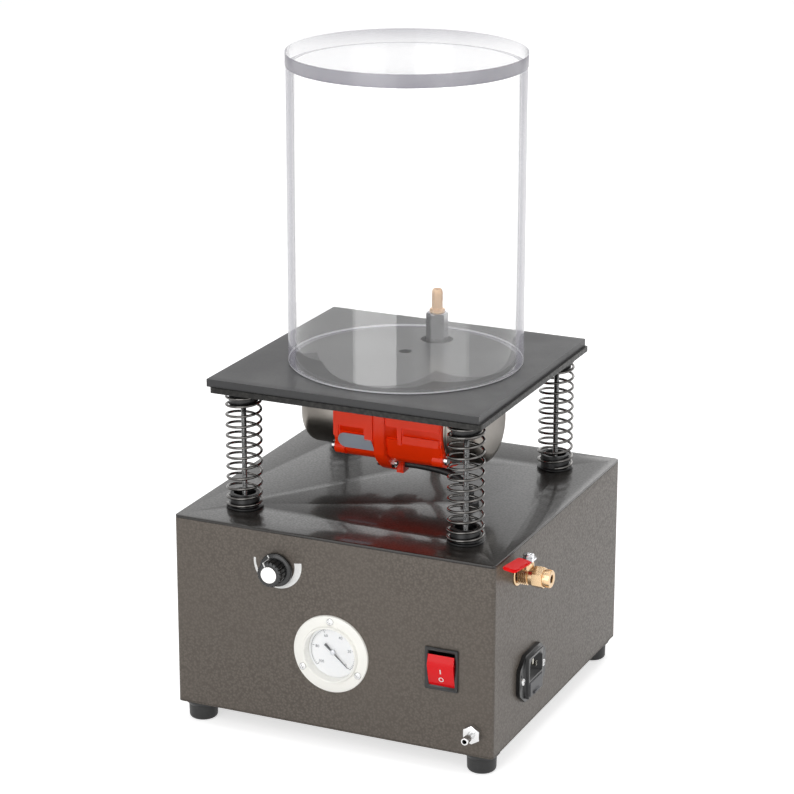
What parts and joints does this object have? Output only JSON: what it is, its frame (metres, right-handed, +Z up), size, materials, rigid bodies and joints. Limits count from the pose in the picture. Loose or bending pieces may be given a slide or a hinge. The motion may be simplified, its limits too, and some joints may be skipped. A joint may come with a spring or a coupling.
{
  "type": "vacuum casting machine",
  "caption": "Bench vacuum investing machine: painted steel case with gauge, speed knob and switch, sprung vibrating table, red vibration motor and a clear jar on a rubber mat.",
  "frame": {"origin": "middle of the steel case's underside, 15 mm above the bench that the rubber feet stand on", "axes": "+X right along the front panel, +Y to the back, +Z up; the front panel faces -Y"},
  "size_m": [0.276, 0.267, 0.4875],
  "materials": {
    "case_paint": "fine hammertone, satin",
    "cover_paint": "smooth, glossy",
    "base_paint": "satin",
    "foot_rubber": "matt",
    "screw_steel": "zinc plated",
    "cup_plastic": "glossy",
    "gauge_flange": "polished",
    "dial_white": "satin",
    "clear_lens": "polished",
    "movement_brass": "plain",
    "control_metal": "plain",
    "black_plastic": "satin",
    "nipple_steel": "polished",
    "valve_brass": "machined",
    "inlet_plastic": "satin",
    "pin_metal": "nickel plated",
    "pump_motor": "cast",
    "pump_head": "cast",
    "board_green": "solder mask",
    "manifold_brass": "machined",
    "hose_clear": "translucent silicone",
    "wire_black": "sheath",
    "table_paint": "fine hammertone",
    "mat_rubber": "matt",
    "rod_steel": "plain",
    "coupling_steel": "turned",
    "filter_bronze": "sintered",
    "tail_brass": "machined",
    "motor_red": "glossy red paint",
    "motor_stainless": "brushed",
    "stator_steel": "laminated, copper wound",
    "rotor_steel": "ground",
    "spring_steel": "drawn wire",
    "jar_acrylic": "polished",
    "lid_acrylic": "polished",
    "knob_plastic": "satin",
    "cap_aluminium": "turned",
    "rocker_red": "glossy",
    "lever_red": "dipped vinyl",
    "needle_black": "matt black",
    "drawer_plastic": "satin",
    "fuse_glass": "glass tube",
    "fan_plastic": "moulded"
  },
  "bodies": {
    "case": {"case_shell": "case_paint", "top_cover": "cover_paint", "bottom_plate": "base_paint", "rubber_feet": "foot_rubber", "base_screws": "screw_steel", "lower_cups": "cup_plastic", "gauge_case": "gauge_flange", "gauge_dial": "dial_white", "gauge_lens": "clear_lens", "gauge_movement": "movement_brass", "panel_screws": "screw_steel", "potentiometer": "control_metal", "switch_frame": "black_plastic", "hose_nipple": "nipple_steel", "valve_body": "valve_brass", "inlet_body": "inlet_plastic", "inlet_pins": "pin_metal", "pump_motor": "pump_motor", "pump_head": "pump_head", "pump_feet": "foot_rubber", "control_board": "board_green", "manifold": "manifold_brass", "hoses": "hose_clear", "wiring": "wire_black", "grommets": "foot_rubber", "spring_front_left": "spring_steel", "spring_front_right": "spring_steel", "spring_back_left": "spring_steel", "spring_back_right": "spring_steel", "vacuum_hose": "hose_clear", "motor_cable": "wire_black"},
    "table": {"table_plate": "table_paint", "rubber_mat": "mat_rubber", "upper_cups": "cup_plastic", "guide_rods": "rod_steel", "rod_nuts": "screw_steel", "port_coupling": "coupling_steel", "port_filter": "filter_bronze", "port_tail": "tail_brass", "motor_housing_left": "motor_red", "motor_housing_right": "motor_red", "motor_cover_left": "motor_stainless", "motor_cover_right": "motor_stainless", "motor_stator": "stator_steel", "motor_bearings": "screw_steel", "motor_bolts": "screw_steel"},
    "rotor": {"motor_rotor": "rotor_steel", "eccentric_weights": "rotor_steel"},
    "jar": {"jar_tube": "jar_acrylic", "jar_lid": "lid_acrylic"},
    "speed_knob": {"knob": "knob_plastic", "knob_cap": "cap_aluminium", "pot_shaft": "control_metal"},
    "rocker": {"switch_rocker": "rocker_red"},
    "valve_handle": {"valve_lever": "lever_red", "valve_stem": "screw_steel"},
    "needle": {"gauge_needle": "needle_black"},
    "drawer": {"fuse_drawer": "drawer_plastic", "fuse": "fuse_glass"},
    "fan": {"pump_fan": "fan_plastic"}
  },
  "joints": [
    {"name": "table_bounce", "type": "slide", "parent": "case", "child": "table", "axis": [0, 0, 1], "range_m": [-0.01, 0.0035], "stiffness_N_per_m": 3850, "springref_m": 0.0115, "deforming": ["spring_front_left", "spring_front_right", "spring_back_left", "spring_back_right", "vacuum_hose", "motor_cable"]},
    {"name": "motor_spin", "type": "hinge", "parent": "table", "child": "rotor", "pos_m": [0, 0, 0.2025], "axis": [1, 0, 0], "continuous": true},
    {"name": "jar_lift", "type": "slide", "parent": "table", "child": "jar", "axis": [0, 0, 1], "range_m": [0, 0.12]},
    {"name": "knob_turn", "type": "hinge", "parent": "case", "child": "speed_knob", "pos_m": [-0.0423, -0.125, 0.117], "axis": [0, 1, 0], "range_deg": [0, 280]},
    {"name": "rocker_tilt", "type": "hinge", "parent": "case", "child": "rocker", "pos_m": [0.086, -0.119, 0.0625], "axis": [1, 0, 0], "range_deg": [-20, 0]},
    {"name": "valve_turn", "type": "hinge", "parent": "case", "child": "valve_handle", "pos_m": [0.133, -0.0828, 0.138], "axis": [0, 0, 1], "range_deg": [0, 90]},
    {"name": "needle_turn", "type": "hinge", "parent": "case", "child": "needle", "pos_m": [0, -0.125, 0.059], "axis": [0, -1, 0], "range_deg": [0, 264], "stiffness_Nm_per_rad": 0.001},
    {"name": "drawer_slide", "type": "slide", "parent": "case", "child": "drawer", "axis": [1, 0, 0], "range_m": [0, 0.02]},
    {"name": "fan_spin", "type": "hinge", "parent": "case", "child": "fan", "pos_m": [0, 0.052, 0.058], "axis": [1, 0, 0], "continuous": true}
  ]
}
